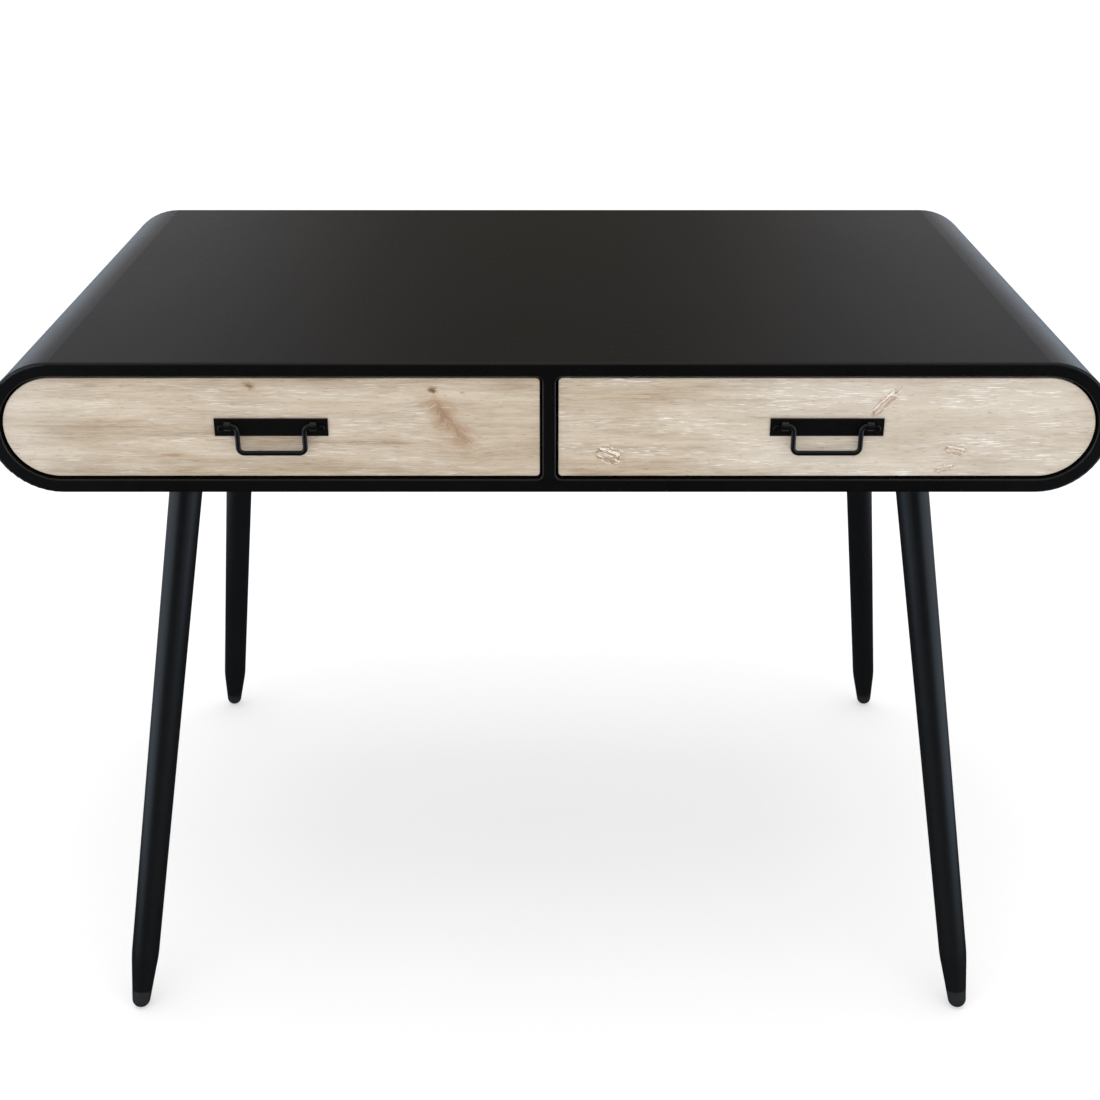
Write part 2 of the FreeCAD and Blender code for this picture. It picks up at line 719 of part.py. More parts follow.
def main():
    os.makedirs("parts", exist_ok=True)
    make_case()
    make_legs()
    make_slides()
    make_drawers()


main()
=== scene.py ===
# writing desk with two drawers: finishes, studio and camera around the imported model
import json
import math
import random

import bpy
import bmesh
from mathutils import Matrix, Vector

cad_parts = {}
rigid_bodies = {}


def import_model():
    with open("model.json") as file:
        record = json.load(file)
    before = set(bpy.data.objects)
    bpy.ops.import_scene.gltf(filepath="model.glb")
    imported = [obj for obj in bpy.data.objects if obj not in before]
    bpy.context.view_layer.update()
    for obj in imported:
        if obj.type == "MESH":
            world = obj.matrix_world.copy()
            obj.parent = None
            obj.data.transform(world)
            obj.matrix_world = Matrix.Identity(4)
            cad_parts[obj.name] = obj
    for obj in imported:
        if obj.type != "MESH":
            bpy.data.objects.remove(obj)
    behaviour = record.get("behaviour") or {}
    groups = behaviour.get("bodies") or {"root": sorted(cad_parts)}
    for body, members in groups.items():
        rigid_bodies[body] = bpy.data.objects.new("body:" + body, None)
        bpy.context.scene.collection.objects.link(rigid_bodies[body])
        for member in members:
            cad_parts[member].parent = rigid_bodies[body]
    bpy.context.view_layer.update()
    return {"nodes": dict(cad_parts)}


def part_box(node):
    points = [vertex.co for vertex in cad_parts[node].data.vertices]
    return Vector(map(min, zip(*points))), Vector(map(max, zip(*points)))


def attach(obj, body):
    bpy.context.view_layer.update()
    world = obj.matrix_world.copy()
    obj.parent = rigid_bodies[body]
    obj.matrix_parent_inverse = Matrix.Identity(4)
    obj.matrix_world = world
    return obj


for leftOver in list(bpy.data.objects):     # a fresh file may open with a cube, lamp and camera
    bpy.data.objects.remove(leftOver)

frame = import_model()
nodes = frame["nodes"]
sides = ("left", "right")
caseLow, deskTop = (corner.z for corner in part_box("outer_skin"))
print("frame loaded:", len(nodes), "nodes")


# small helpers for building node trees

def makeMaterial(name):
    mat = bpy.data.materials.new(name)
    mat.use_nodes = True
    tree = mat.node_tree
    shader = tree.nodes["Principled BSDF"]
    return mat, tree, shader


def put(tree, socket, value):
    if isinstance(value, bpy.types.NodeSocket):
        tree.links.new(value, socket)
    else:
        socket.default_value = value


def calc(tree, operation, a, b=0.0, c=0.0, clamp=False):
    node = tree.nodes.new("ShaderNodeMath")
    node.operation = operation
    node.use_clamp = clamp
    for socket, value in zip(node.inputs, (a, b, c)):
        put(tree, socket, value)
    return node.outputs[0]


def objectPlace(tree):
    return tree.nodes.new("ShaderNodeTexCoord").outputs["Object"]


def stretched(tree, vector, scale, shift=(0, 0, 0)):
    node = tree.nodes.new("ShaderNodeMapping")
    put(tree, node.inputs["Vector"], vector)
    node.inputs["Scale"].default_value = scale
    node.inputs["Location"].default_value = shift
    return node.outputs[0]


def noise(tree, vector, scale=1.0, detail=2.0, rough=0.5, bend=0.0):
    node = tree.nodes.new("ShaderNodeTexNoise")
    put(tree, node.inputs["Vector"], vector)
    put(tree, node.inputs["Scale"], scale)
    node.inputs["Detail"].default_value = detail
    node.inputs["Roughness"].default_value = rough
    node.inputs["Distortion"].default_value = bend
    return node.outputs["Fac"]


def remap(tree, value, lowIn, highIn, lowOut=0.0, highOut=1.0, soft=False):
    node = tree.nodes.new("ShaderNodeMapRange")
    node.interpolation_type = "SMOOTHSTEP" if soft else "LINEAR"
    for socket, item in zip(node.inputs, (value, lowIn, highIn, lowOut, highOut)):
        put(tree, socket, item)
    return node.outputs[0]


def blendColour(tree, amount, a, b, mode="MIX"):
    node = tree.nodes.new("ShaderNodeMix")
    node.data_type = "RGBA"
    node.blend_type = mode
    put(tree, node.inputs[0], amount)
    put(tree, node.inputs[6], a if isinstance(a, bpy.types.NodeSocket) else (*a, 1))
    put(tree, node.inputs[7], b if isinstance(b, bpy.types.NodeSocket) else (*b, 1))
    return node.outputs[2]


def colourSteps(tree, value, steps):
    node = tree.nodes.new("ShaderNodeValToRGB")
    put(tree, node.inputs[0], value)
    band = node.color_ramp
    while len(band.elements) < len(steps):
        band.elements.new(0.5)
    for element, (at, colour) in zip(band.elements, steps):
        element.position = at
        element.color = (*colour, 1)
    return node.outputs[0]


def relief(tree, shader, height, strength, distance, under=None):
    node = tree.nodes.new("ShaderNodeBump")
    node.inputs["Strength"].default_value = strength
    node.inputs["Distance"].default_value = distance
    put(tree, node.inputs["Height"], height)
    if under is not None:
        put(tree, node.inputs["Normal"], under)
    put(tree, shader.inputs["Normal"], node.outputs[0])
    return node.outputs[0]


def splitXyz(tree, vector):
    node = tree.nodes.new("ShaderNodeSeparateXYZ")
    put(tree, node.inputs[0], vector)
    return node.outputs


def joinXyz(tree, x, y, z):
    node = tree.nodes.new("ShaderNodeCombineXYZ")
    for socket, value in zip(node.inputs, (x, y, z)):
        put(tree, socket, value)
    return node.outputs[0]


# satin coat on the steel of the case and the legs
caseSteel = dict(
    colour=(0.0016, 0.0015, 0.0015),
    faded=(0.0034, 0.0033, 0.0032),     # where dust and hands have dulled the coat
    roughness=(0.24, 0.34),
    specular=0.50,
    cloudSize=3.2,                      # sizes of the marks, to the metre
    dustSize=95,
    speckSize=1900,
    peelSize=620,                       # orange peel
    peelHeight=0.00006,
)
# the legs take a lighter, bluer copy of the case's coat: a painted bluish sheen standing in for the side
# light they catch
legSteelPaintedSheen = dict(
    caseSteel,
    colour=(0.0030, 0.0038, 0.0048),
    faded=(0.0056, 0.0068, 0.0080),
    roughness=(0.32, 0.42),
)


def satinSteel(name, look):
    mat, tree, shader = makeMaterial(name)
    place = objectPlace(tree)
    cloud = noise(tree, place, look["cloudSize"], 5, 0.6)
    dust = noise(tree, place, look["dustSize"], 6, 0.7)
    mottle = noise(tree, place, look["speckSize"], 2, 0.5)
    mixed = calc(tree, "MULTIPLY_ADD", dust, 0.45, calc(tree, "MULTIPLY", cloud, 0.6))
    tone = blendColour(tree, remap(tree, mixed, 0.35, 0.75), look["colour"], look["faded"])
    speck = remap(tree, mottle, 0.70, 0.78, 0, 0.35)
    put(tree, shader.inputs["Base Color"], blendColour(tree, speck, tone, look["faded"]))
    low, high = look["roughness"]
    put(tree, shader.inputs["Roughness"], remap(tree, mixed, 0.3, 0.8, low, high))
    shader.inputs["Specular IOR Level"].default_value = look["specular"]
    peel = noise(tree, place, look["peelSize"], 3, 0.55)
    relief(tree, shader, peel, 0.35, look["peelHeight"])
    return mat


# limed softwood of the two drawer fronts
limedLook = dict(
    pale=(0.590, 0.500, 0.392),
    middle=(0.475, 0.383, 0.283),
    deep=(0.305, 0.222, 0.146),
    # the lime colour also paints the pale light towards the fronts' outer ends
    lime=(0.750, 0.708, 0.640),         # the thin wash
    fleck=(0.880, 0.850, 0.790),        # and where it sits thick
    pore=(0.190, 0.125, 0.076),
    knot=(0.365, 0.222, 0.118),
    heart=(0.070, 0.036, 0.019),
    roughness=(0.48, 0.66),
    specular=0.32,
    grainHeight=0.00022,
    grainWave=0.009,                    # how far the grain wanders up and down
    grainDip=0.35,                      # and how steeply it runs down into the board
    # marks to the metre along the board, into it and up it
    bands=(1.6, 30, 26),
    blotch=(11, 90, 75),
    rings=(5, 160, 260),
    fibres=(34, 700, 700),
    hairs=(90, 1500, 2300),
    patches=(7, 14, 38),
    pores=(75, 500, 800),
    dashes=(50, 400, 1050),
)
# lime and painted light: how many flecks, how much haze, and from where to where along x a painted light
# gradient pales the front towards its outer end
# knots: x, z from the front's middle, half length, half height, lean in degrees, depth of colour, cracks
frontLooks = dict(
    left=dict(seed=3.7, limeAndEndLight=(0.48, 0.26, -0.43, -0.53), knots=[
        (-0.2900, 0.0430, 0.0074, 0.0056, 8, 0.66, 0.0),
        (-0.1130, 0.0390, 0.0068, 0.0056, -6, 0.85, 0.0),
        (-0.1030, 0.0110, 0.0340, 0.0170, 54, 0.58, 0.0),      # the long smear, and the streaks in it
        (-0.0880, -0.0080, 0.0290, 0.0150, 50, 0.54, 0.0),
        (-0.0900, -0.0060, 0.0230, 0.0016, 52, 0.64, 0.15),
        (-0.0790, -0.0130, 0.0150, 0.0015, 49, 0.62, 0.15),
        (-0.0980, 0.0060, 0.0200, 0.0013, 56, 0.58, 0.15),
        (-0.3690, -0.0290, 0.0150, 0.0024, -3, 0.52, 0.0),
    ]),
    right=dict(seed=11.2, limeAndEndLight=(0.95, 0.34, 0.10, 0.26), knots=[
        (0.0590, -0.0290, 0.0125, 0.0085, 18, 0.85, 1.0),
        (0.3270, 0.0270, 0.0170, 0.0052, -48, 0.80, 0.9),
        (0.4000, -0.0240, 0.0105, 0.0055, 10, 0.80, 0.9),
        (0.3910, -0.0430, 0.0095, 0.0042, -14, 0.70, 0.9),
    ]),
)


def limedSoftwood(name, look, midZ, faceY, seed, limeAndEndLight, knots):
    mat, tree, shader = makeMaterial(name)
    place = objectPlace(tree)
    x, y, z = splitXyz(tree, place)
    depth = calc(tree, "SUBTRACT", y, faceY)
    # slow waves bend the grain along the board
    wave = calc(tree, "SUBTRACT", noise(tree, stretched(tree, place, (1.7, 3, 7), (seed, 0, 0)), 1, 2), 0.5)
    height = calc(tree, "MULTIPLY_ADD", wave, look["grainWave"], z)
    height = calc(tree, "MULTIPLY_ADD", depth, look["grainDip"], height)
    knotTone, knotLime = 0.0, 0.0
    for kx, kz, rx, rz, lean, strength, cracks in knots:
        local = tree.nodes.new("ShaderNodeMapping")
        local.vector_type = "TEXTURE"
        put(tree, local.inputs["Vector"], place)
        local.inputs["Location"].default_value = (kx, faceY, midZ + kz)
        local.inputs["Rotation"].default_value = (0, math.radians(lean), 0)
        local.inputs["Scale"].default_value = (rx, 0.06, rz)
        local = local.outputs[0]
        length = tree.nodes.new("ShaderNodeVectorMath")
        length.operation = "LENGTH"
        put(tree, length.inputs[0], local)
        ragged = calc(tree, "SUBTRACT", noise(tree, local, 1.7, 4, 0.6), 0.5)
        away = calc(tree, "MULTIPLY_ADD", ragged, 1.3, length.outputs["Value"])
        # the lines of the grain part round a knot, less round a smear
        near = calc(tree, "EXPONENT", calc(tree, "MULTIPLY", calc(tree, "MULTIPLY", away, away), -0.6))
        lift = calc(tree, "MULTIPLY", calc(tree, "SUBTRACT", z, midZ + kz), near)
        parting = -0.35 if rz < 0.009 else -0.10
        height = calc(tree, "MULTIPLY_ADD", lift, parting, height)
        spread = remap(tree, away, 0.70, 1.50, 1, 0, True)
        core = remap(tree, away, 0.05, 1.20, 1, 0, True)
        veins = noise(tree, stretched(tree, local, (0.5, 1, 1.7), (seed, 0, 0)), 1.8, 4, 0.62, 0.5)
        split = calc(tree, "ABSOLUTE", calc(tree, "SUBTRACT", veins, 0.47))
        edge = calc(tree, "ABSOLUTE", calc(tree, "SUBTRACT", away, 0.92))
        cracked = remap(tree, split, 0.01, 0.05, 0.8, 0)
        rimmed = remap(tree, edge, 0.04, 0.24, 0.8, 0)
        dark = calc(tree, "MAXIMUM", cracked, rimmed)
        filling = calc(tree, "ABSOLUTE", calc(tree, "SUBTRACT", veins, 0.56))
        pale = remap(tree, filling, 0.012, 0.050, 1, 0)
        tint = calc(tree, "MULTIPLY", core, 1 - 0.6 * cracks)
        dark = calc(tree, "MULTIPLY", calc(tree, "MULTIPLY", dark, spread), 0.25 + 0.75 * cracks)
        stain = calc(tree, "MULTIPLY", calc(tree, "MAXIMUM", tint, dark), strength)
        knotTone = calc(tree, "MAXIMUM", knotTone, stain)
        filled = calc(tree, "MULTIPLY", calc(tree, "MULTIPLY", pale, spread), cracks)
        knotLime = calc(tree, "MAXIMUM", knotLime, filled)
    grain = joinXyz(tree, x, depth, height)
    bands = noise(tree, stretched(tree, grain, look["bands"], (seed, 2, 0)), 1, 3, 0.55)
    blotch = noise(tree, stretched(tree, grain, look["blotch"], (0, seed, 0)), 1, 4, 0.65)
    rings = noise(tree, stretched(tree, grain, look["rings"], (0, seed, 2)), 1, 4, 0.65)
    fibres = noise(tree, stretched(tree, grain, look["fibres"], (seed, 0, 3)), 1, 4, 0.7)
    hairs = noise(tree, stretched(tree, grain, look["hairs"], (0, 0, seed)), 1, 3, 0.6)
    tone = calc(tree, "MULTIPLY_ADD", blotch, 0.30, calc(tree, "MULTIPLY", bands, 0.26))
    tone = calc(tree, "MULTIPLY_ADD", rings, 0.18, tone)
    tone = calc(tree, "MULTIPLY_ADD", fibres, 0.26, tone)
    colour = colourSteps(tree, tone, [(0.385, look["deep"]), (0.485, look["middle"]), (0.57, look["pale"])])
    # saw and brush marks: short brown pores, and lime left in others
    flecks, haze, endLightFrom, endLightTo = limeAndEndLight
    patches = noise(tree, stretched(tree, grain, look["patches"], (seed, 5, 2)), 1, 4, 0.65)
    pores = noise(tree, stretched(tree, grain, look["pores"], (seed, 7, 7)), 1, 3, 0.6)
    dashes = noise(tree, stretched(tree, grain, look["dashes"], (4, seed, 1)), 1, 3, 0.5)
    clustered = remap(tree, patches, 0.48, 0.59, 0.08, 1.0)
    left = calc(tree, "MULTIPLY", remap(tree, dashes, 0.58, 0.625), clustered)
    left = calc(tree, "MAXIMUM", calc(tree, "MULTIPLY", left, flecks), knotLime)
    # paler towards the outer end of each front: painted light, not lime
    paintedEndLight = remap(tree, x, endLightFrom, endLightTo, 0.0, 0.30, True)
    # the real lime haze plus the painted end light
    cloud = calc(tree, "ADD", remap(tree, patches, 0.42, 0.72, 0.0, haze), paintedEndLight)
    colour = blendColour(tree, cloud, colour, look["lime"])
    colour = blendColour(tree, remap(tree, pores, 0.60, 0.68, 0, 0.55), colour, look["pore"])
    colour = blendColour(tree, calc(tree, "MULTIPLY", knotTone, 1.5, clamp=True), colour, look["knot"])
    colour = blendColour(tree, remap(tree, knotTone, 0.45, 0.95), colour, look["heart"])
    colour = blendColour(tree, left, colour, look["fleck"])
    put(tree, shader.inputs["Base Color"], colour)
    low, high = look["roughness"]
    put(tree, shader.inputs["Roughness"], remap(tree, fibres, 0.3, 0.7, low, high))
    shader.inputs["Specular IOR Level"].default_value = look["specular"]
    cut = calc(tree, "MULTIPLY_ADD", hairs, 0.4, calc(tree, "MULTIPLY", fibres, 0.6))
    cut = calc(tree, "MULTIPLY_ADD", left, 0.4, cut)
    relief(tree, shader, calc(tree, "MULTIPLY_ADD", knotTone, -0.4, cut), 0.5, look["grainHeight"])
    return mat


# black iron of the pulls
pullIron = dict(
    colour=(0.0020, 0.0020, 0.0023),
    worn=(0.011, 0.0098, 0.0090),
    roughness=(0.24, 0.40),
    specular=0.55,
    beatSize=170,                       # hammer marks to the metre
    beatHeight=0.00025,
    gritSize=1400,
    gritHeight=0.00004,
)


def forgedIron(name, look):
    mat, tree, shader = makeMaterial(name)
    place = objectPlace(tree)
    beat = noise(tree, place, look["beatSize"], 2, 0.4)
    grit = noise(tree, place, look["gritSize"], 4, 0.6)
    rub = remap(tree, noise(tree, place, 60, 5, 0.7), 0.58, 0.78, 0, 0.6)
    put(tree, shader.inputs["Base Color"], blendColour(tree, rub, look["colour"], look["worn"]))
    low, high = look["roughness"]
    put(tree, shader.inputs["Roughness"], remap(tree, grit, 0.25, 0.75, low, high))
    shader.inputs["Specular IOR Level"].default_value = look["specular"]
    under = relief(tree, shader, beat, 0.6, look["beatHeight"])
    relief(tree, shader, grit, 0.3, look["gritHeight"], under)
    return mat


# plain timber, board and ply of what is inside
insideWood = dict(
    boxPine=dict(light=(0.66, 0.49, 0.30), dark=(0.46, 0.30, 0.16), along="y"),
    boxEnds=dict(light=(0.66, 0.49, 0.30), dark=(0.46, 0.30, 0.16), along="x"),
    bottomPly=dict(light=(0.70, 0.56, 0.38), dark=(0.54, 0.40, 0.25), along="x"),
)
insideBoard = dict(
    case=dict(light=(0.40, 0.29, 0.19), dark=(0.22, 0.15, 0.095)),
    back=dict(light=(0.022, 0.022, 0.022), dark=(0.012, 0.012, 0.0125)),
)


def plainTimber(name, light, dark, along):
    mat, tree, shader = makeMaterial(name)
    place = objectPlace(tree)
    long, across = (2.2, 60) if along == "x" else (60, 2.2)
    wave = noise(tree, stretched(tree, place, (3, 3, 8)), 1, 2)
    x, y, z = splitXyz(tree, place)
    bent = joinXyz(tree, x, y, calc(tree, "MULTIPLY_ADD", wave, 0.03, z))
    rings = noise(tree, stretched(tree, bent, (long, across, 90)), 1, 4, 0.6)
    fibres = noise(tree, stretched(tree, bent, (long * 12, across * 12, 900)), 1, 4, 0.6)
    tone = calc(tree, "MULTIPLY_ADD", fibres, 0.35, calc(tree, "MULTIPLY", rings, 0.65))
    put(tree, shader.inputs["Base Color"], colourSteps(tree, tone, [(0.34, dark), (0.60, light)]))
    put(tree, shader.inputs["Roughness"], remap(tree, fibres, 0.3, 0.7, 0.5, 0.68))
    relief(tree, shader, fibres, 0.35, 0.0001)
    return mat


def pressedBoard(name, light, dark):
    mat, tree, shader = makeMaterial(name)
    place = objectPlace(tree)
    chips = noise(tree, place, 420, 6, 0.75)
    cloud = noise(tree, place, 14, 3, 0.6)
    tone = calc(tree, "MULTIPLY_ADD", cloud, 0.3, calc(tree, "MULTIPLY", chips, 0.7))
    put(tree, shader.inputs["Base Color"], colourSteps(tree, tone, [(0.32, dark), (0.66, light)]))
    put(tree, shader.inputs["Roughness"], remap(tree, chips, 0.3, 0.7, 0.62, 0.85))
    relief(tree, shader, chips, 0.3, 0.00012)
    return mat


# slides, screws and glides
platedLooks = dict(
    slide=dict(colour=(0.60, 0.61, 0.62), rough=(0.24, 0.42)),
    screw=dict(colour=(0.06, 0.06, 0.062), rough=(0.34, 0.5)),
)
glideLook = dict(
    colour=(0.016, 0.019, 0.020),
    scuffGain=2.2,                      # how much paler the scuffs are
    rough=(0.42, 0.62),
)


def zincPlate(name, colour, rough):
    mat, tree, shader = makeMaterial(name)
    place = objectPlace(tree)
    drawn = noise(tree, stretched(tree, place, (900, 9, 900)), 1, 3, 0.6)
    spangle = noise(tree, place, 55, 4, 0.6)
    tone = remap(tree, spangle, 0.3, 0.7, 0.0, 0.5)
    grey = tuple(0.72 * c for c in colour)
    put(tree, shader.inputs["Base Color"], blendColour(tree, tone, colour, grey))
    put(tree, shader.inputs["Roughness"], remap(tree, drawn, 0.3, 0.7, *rough))
    shader.inputs["Metallic"].default_value = 1.0
    relief(tree, shader, drawn, 0.25, 0.00003)
    return mat


def mouldedPlastic(name, colour, scuffGain, rough):
    mat, tree, shader = makeMaterial(name)
    place = objectPlace(tree)
    fine = noise(tree, place, 1500, 3, 0.6)
    scuff = remap(tree, noise(tree, place, 130, 5, 0.7), 0.55, 0.75, 0, 0.5)
    pale = tuple(scuffGain * c for c in colour)
    put(tree, shader.inputs["Base Color"], blendColour(tree, scuff, colour, pale))
    put(tree, shader.inputs["Roughness"], remap(tree, fine, 0.3, 0.7, *rough))
    relief(tree, shader, fine, 0.35, 0.00005)
    return mat


def wear(name, mat):
    mesh = nodes[name].data
    mesh.materials.clear()
    mesh.materials.append(mat)


midZ = (deskTop + caseLow) / 2
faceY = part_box("right_drawer_front")[0].y
steelMat = satinSteel("satinBlackSteel", caseSteel)
# the legs' coat carries a painted bluish sheen in its colour
legMatPaintedSheen = satinSteel("satinLegSteelPaintedSheen", legSteelPaintedSheen)
ironMat = forgedIron("blackPullIron", pullIron)
boxMat = plainTimber("drawerSidePine", **insideWood["boxPine"])
endMat = plainTimber("drawerEndPine", **insideWood["boxEnds"])
plyMat = plainTimber("drawerBottomPly", **insideWood["bottomPly"])
boardMat = pressedBoard("caseFibreboard", **insideBoard["case"])
backMat = pressedBoard("backHardboard", **insideBoard["back"])
zincMat = zincPlate("slideZinc", **platedLooks["slide"])
blackZincMat = zincPlate("blackenedScrew", **platedLooks["screw"])
glideMat = mouldedPlastic("glidePlastic", **glideLook)
frontMats = {}
for side in sides:
    frontMats[side] = limedSoftwood(side + "LimedFront", limedLook, midZ, faceY, **frontLooks[side])

for name in nodes:
    if name in ("outer_skin", "front_frame", "rear_frame") or name.endswith("_leg_plate"):
        wear(name, steelMat)
    elif name.endswith("_leg"):
        wear(name, legMatPaintedSheen)
    elif name.endswith("_glide"):
        wear(name, glideMat)
    elif name.endswith("_drawer_front"):
        wear(name, frontMats[name.split("_")[0]])
    elif name.endswith(("_bail", "_handle_plate", "_handle_screws")):
        wear(name, ironMat)
    elif name.endswith("_drawer_bottom"):
        wear(name, plyMat)
    elif name.endswith(("_box_front", "_box_back")):
        wear(name, endMat)
    elif "_drawer_box_" in name:
        wear(name, boxMat)
    elif name == "back_panel":
        wear(name, backMat)
    elif name in ("back_panel_screws", "leg_plate_screws"):
        wear(name, blackZincMat)
    elif name.endswith(("_screws", "_rail", "_ball_cage")):
        wear(name, zincMat)
    else:
        wear(name, boardMat)
print("materials on")


# weld beads where the legs meet their plates, sizes in metres
weldLook = dict(
    bead=0.0021,
    ripples=46,
    rippleDepth=0.00035,
    around=10,                          # points across the bead and along it
    along=184,
    rimDepth=0.0002,                    # points this close to the leg's top belong to its cut end
    sectors=48,
)


def weldBead(name, leg, bead, ripples, rippleDepth, around, along, rimDepth, sectors):
    world = nodes[leg].matrix_world
    points = [world @ v.co for v in nodes[leg].data.vertices]
    ceiling = max(p.z for p in points)
    rim = [p for p in points if ceiling - p.z < rimDepth]
    middle = sum(rim, Vector()) / len(rim)
    reach = {}
    for p in rim:                                   # the outer edge of the tube's cut end
        angle = math.atan2(p.y - middle.y, p.x - middle.x)
        key = round(angle / math.tau * sectors)
        size = (p - middle).length
        if size > reach.get(key, (0, 0))[1]:
            reach[key] = (angle, size)
    ring = sorted(v for v in reach.values() if v[1] > 0.9 * max(r[1] for r in reach.values()))
    ring = [(ring[-1][0] - math.tau, ring[-1][1])] + ring + [(ring[0][0] + math.tau, ring[0][1])]
    random.seed(len(leg))
    bm = bmesh.new()
    rows = []
    for i in range(along):
        angle = -math.pi + math.tau * i / along
        k = next(n for n in range(len(ring) - 1) if ring[n + 1][0] >= angle)
        t = (angle - ring[k][0]) / (ring[k + 1][0] - ring[k][0])
        size = ring[k][1] + t * (ring[k + 1][1] - ring[k][1])
        swell = bead + rippleDepth * abs(math.sin(ripples * angle / 2))
        swell = swell + random.uniform(-1, 1) * rippleDepth / 4
        row = []
        for n in range(around):
            turn = math.tau * n / around
            out = size + swell * math.cos(turn)
            x = middle.x + out * math.cos(angle)
            y = middle.y + out * math.sin(angle)
            z = ceiling - bead / 3 + swell * math.sin(turn) * 0.8
            row.append(bm.verts.new((x, y, z)))
        rows.append(row)
    for i in range(along):
        a, b = rows[i], rows[(i + 1) % along]
        for n in range(around):
            m = (n + 1) % around
            bm.faces.new((a[n], b[n], b[m], a[m]))
    bm.normal_update()
    mesh = bpy.data.meshes.new(name)
    bm.to_mesh(mesh)
    bm.free()
    mesh.polygons.foreach_set("use_smooth", [True] * len(mesh.polygons))
    piece = bpy.data.objects.new(name, mesh)
    bpy.context.scene.collection.objects.link(piece)
    mesh.materials.append(steelMat)
    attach(piece, "case")


for leg in [n for n in nodes if n.endswith("_leg")]:
    weldBead(leg + "Weld", leg, **weldLook)
print("welds laid")


# studio: a white sweep of floor, a soft box overhead and one in front
studio = dict(
    floorHalf=30.0,
    floorGlow=0.43,                     # light the sweep gives off by itself
    floorWhite=0.60,                    # and what it throws back, which is where shadows show
    roomSoft=1.0,                       # the room's light on all but gloss
)
# what the glossy coats mirror: the floor nearby and off to either side,
# and the room from behind the desk (0) round either side to the front (1)
glossRoom = dict(
    floorNear=(0.020, 0.020, 0.023),
    floorBeside=(0.34, 0.35, 0.37),
    floorAhead=(0.72, 0.94, 1.20),      # beside too, but in front of the legs or far away
    floorSides=(0.85, 1.30),            # from here out to here along x
    floorWidens=-1.2,                   # and further out in front of this y
    floorTurn=(0.15, -0.35),            # between the two along y
    floorFar=(3.0, 5.0),
    floorEnd=(-2.4, -1.4),
    around=[(0.0, (0.100, 0.088, 0.074)), (0.030, (0.112, 0.100, 0.088)), (0.085, (0.27, 0.27, 0.28)),
            (0.30, (0.42, 0.46, 0.52)), (0.55, (0.76, 0.88, 1.00)), (0.72, (0.86, 0.97, 1.00)),
            (0.81, (0.38, 0.47, 0.60)), (0.88, (0.05, 0.05, 0.055)), (1.0, (0.045, 0.045, 0.045))],
    lowGain=(0.17, 0.32, 1.85, 0.62),   # the sides are brighter near the horizon
    hazeHeight=(0.0, 0.07),             # but in front of the desk dim just over it
    hazeTurn=(0.48, 0.60, 1.0, 0.35),
    above=(0.45, 0.45, 0.45),
    aboveHeight=(0.45, 0.85),
)
softBoxes = dict(
    overhead=dict(place=(0, -0.35, 3.6), aim=(0, 0, 0.5), size=(3.6, 2.8), watts=44, tint=(1, 0.99, 0.97)),
    front=dict(place=(0, -4.2, 1.9), aim=(0, 0, 0.65), size=(3.6, 1.8), watts=8, tint=(1, 0.985, 0.96)),
)


def makeSoftBox(name, place, aim, size, watts, tint):
    light = bpy.data.lights.new(name, "AREA")
    light.shape = "RECTANGLE"
    light.size, light.size_y = size
    light.energy = watts
    light.color = tint
    lamp = bpy.data.objects.new(name, light)
    lamp.location = place
    lamp.rotation_euler = (Vector(aim) - Vector(place)).to_track_quat("-Z", "Y").to_euler()
    lamp.visible_camera = False
    lamp.visible_glossy = False
    bpy.context.scene.collection.objects.link(lamp)


def makeFloor(half, glow, white, gloss):
    bm = bmesh.new()
    corners = [(-half, -half), (half, -half), (half, half), (-half, half)]
    bm.faces.new([bm.verts.new((x, y, 0)) for x, y in corners])
    mesh = bpy.data.meshes.new("studioFloor")
    bm.to_mesh(mesh)
    bm.free()
    floor = bpy.data.objects.new("studioFloor", mesh)
    bpy.context.scene.collection.objects.link(floor)
    mat, tree, shader = makeMaterial("paleSweep")
    place = objectPlace(tree)
    shade = remap(tree, noise(tree, place, 2.0, 4, 0.6), 0.2, 0.8, 0.985, 1.0)
    shader.inputs["Roughness"].default_value = 1.0
    shader.inputs["Specular IOR Level"].default_value = 0.0
    put(tree, shader.inputs["Base Color"], blendColour(tree, shade, (0, 0, 0), (white, white, white)))
    shader.inputs["Emission Color"].default_value = (1, 1, 1, 1)
    shader.inputs["Emission Strength"].default_value = glow
    seen = tree.nodes.new("ShaderNodeEmission")
    x, y, z = splitXyz(tree, place)
    inner, outer = gloss["floorSides"]
    reach = calc(tree, "ABSOLUTE", x)
    ahead = calc(tree, "MAXIMUM", calc(tree, "SUBTRACT", gloss["floorWidens"], y), 0.0)
    away = remap(tree, calc(tree, "SUBTRACT", reach, ahead), inner, outer, 0, 1, True)
    before = remap(tree, y, *gloss["floorTurn"], 0, 1, True)
    far = remap(tree, reach, *gloss["floorFar"], 0, 1, True)
    bluer = calc(tree, "MAXIMUM", before, far)
    bluer = calc(tree, "MULTIPLY", bluer, remap(tree, y, *gloss["floorEnd"], 0, 1, True))
    beside = blendColour(tree, bluer, gloss["floorBeside"], gloss["floorAhead"])
    put(tree, seen.inputs["Color"], blendColour(tree, away, gloss["floorNear"], beside))
    pick = tree.nodes.new("ShaderNodeMixShader")
    put(tree, pick.inputs[0], tree.nodes.new("ShaderNodeLightPath").outputs["Is Glossy Ray"])
    tree.links.new(shader.outputs[0], pick.inputs[1])
    tree.links.new(seen.outputs[0], pick.inputs[2])
    tree.links.new(pick.outputs[0], tree.nodes["Material Output"].inputs[0])
    mesh.materials.append(mat)


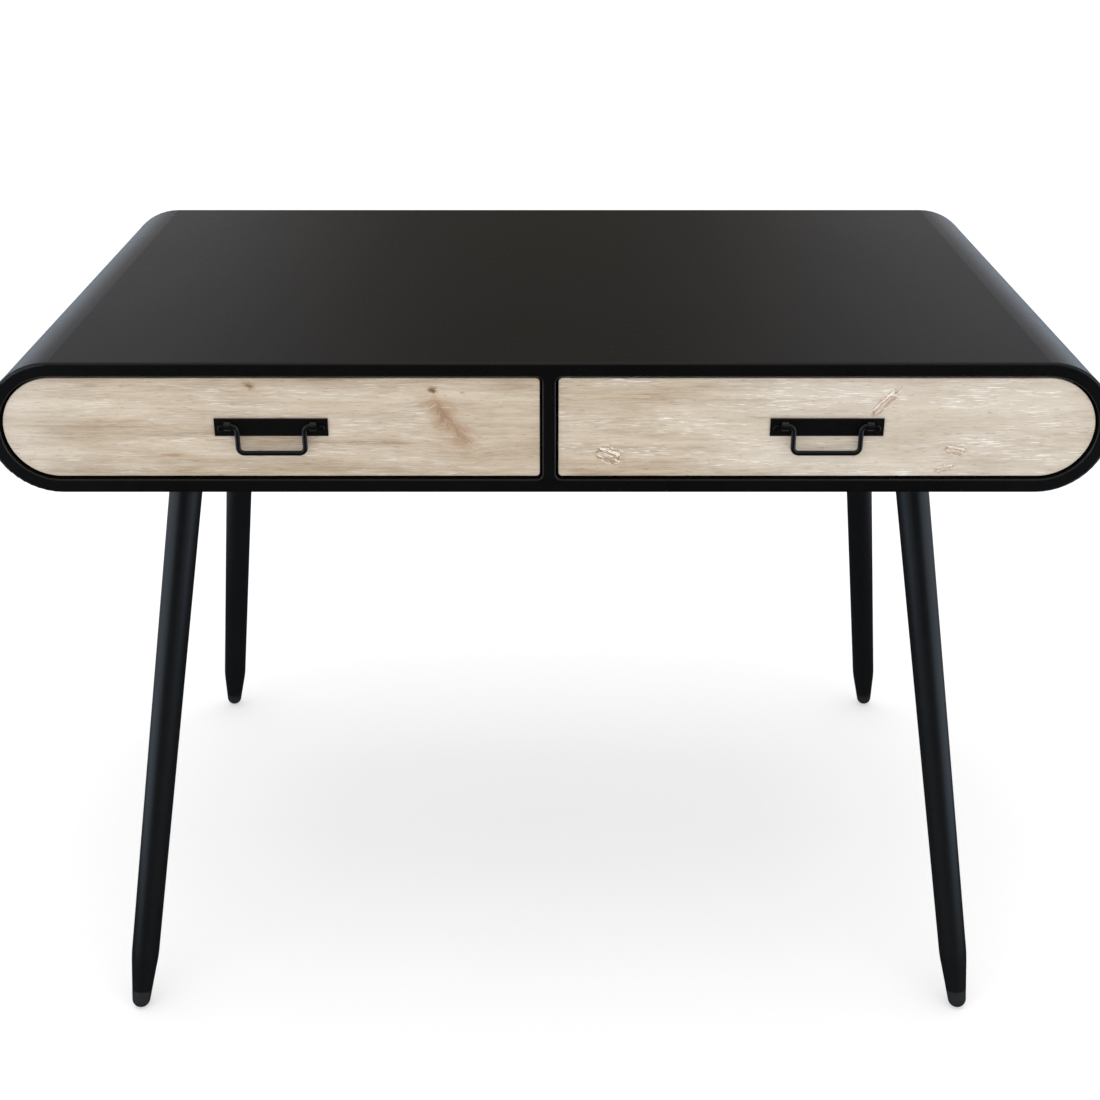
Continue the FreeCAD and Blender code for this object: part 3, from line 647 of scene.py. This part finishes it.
def makeRoom(soft, gloss):
    world = bpy.data.worlds.new("studioRoom")
    bpy.context.scene.world = world
    world.use_nodes = True
    tree = world.node_tree
    back = tree.nodes["Background"]
    path = tree.nodes.new("ShaderNodeLightPath")
    x, y, z = splitXyz(tree, tree.nodes.new("ShaderNodeTexCoord").outputs["Generated"])
    turn = calc(tree, "DIVIDE", calc(tree, "ARCTAN2", calc(tree, "ABSOLUTE", x), y), math.pi)
    colour = colourSteps(tree, turn, gloss["around"])
    gain = calc(tree, "POWER", remap(tree, z, *gloss["lowGain"]), remap(tree, turn, 0.02, 0.06))
    haze = remap(tree, z, *gloss["hazeHeight"], remap(tree, turn, *gloss["hazeTurn"]), 1.0)
    gain = calc(tree, "MULTIPLY", gain, haze)
    colour = blendColour(tree, 1.0, colour, joinXyz(tree, gain, gain, gain), "MULTIPLY")
    overhead = remap(tree, z, *gloss["aboveHeight"], 0, 1, True)
    colour = blendColour(tree, overhead, colour, gloss["above"])
    colour = blendColour(tree, path.outputs["Is Glossy Ray"], (soft, soft, soft), colour)
    put(tree, back.inputs["Color"], blendColour(tree, path.outputs["Is Camera Ray"], colour, (1, 1, 1)))


makeFloor(studio["floorHalf"], studio["floorGlow"], studio["floorWhite"], glossRoom)
makeRoom(studio["roomSoft"], glossRoom)
for name, box in softBoxes.items():
    makeSoftBox(name + "SoftBox", **box)
print("studio set")


# camera, in front of the desk and looking down on it
view = dict(
    place=(0, -1.7444, 1.2703),
    downDegrees=23.36,
    lens=52.23,
    sensor=36.0,
    shift=(0.0008, -0.0708),
)
cameraData = bpy.data.cameras.new("deskCamera")
cameraData.lens = view["lens"]
cameraData.sensor_width = view["sensor"]
cameraData.shift_x, cameraData.shift_y = view["shift"]
cameraData.clip_end = 100
camera = bpy.data.objects.new("deskCamera", cameraData)
camera.location = view["place"]
camera.rotation_euler = (math.radians(90 - view["downDegrees"]), 0, 0)
bpy.context.scene.collection.objects.link(camera)
bpy.context.scene.camera = camera
bpy.context.scene.view_settings.view_transform = "Standard"
bpy.context.scene.view_settings.look = "None"

print("finished")
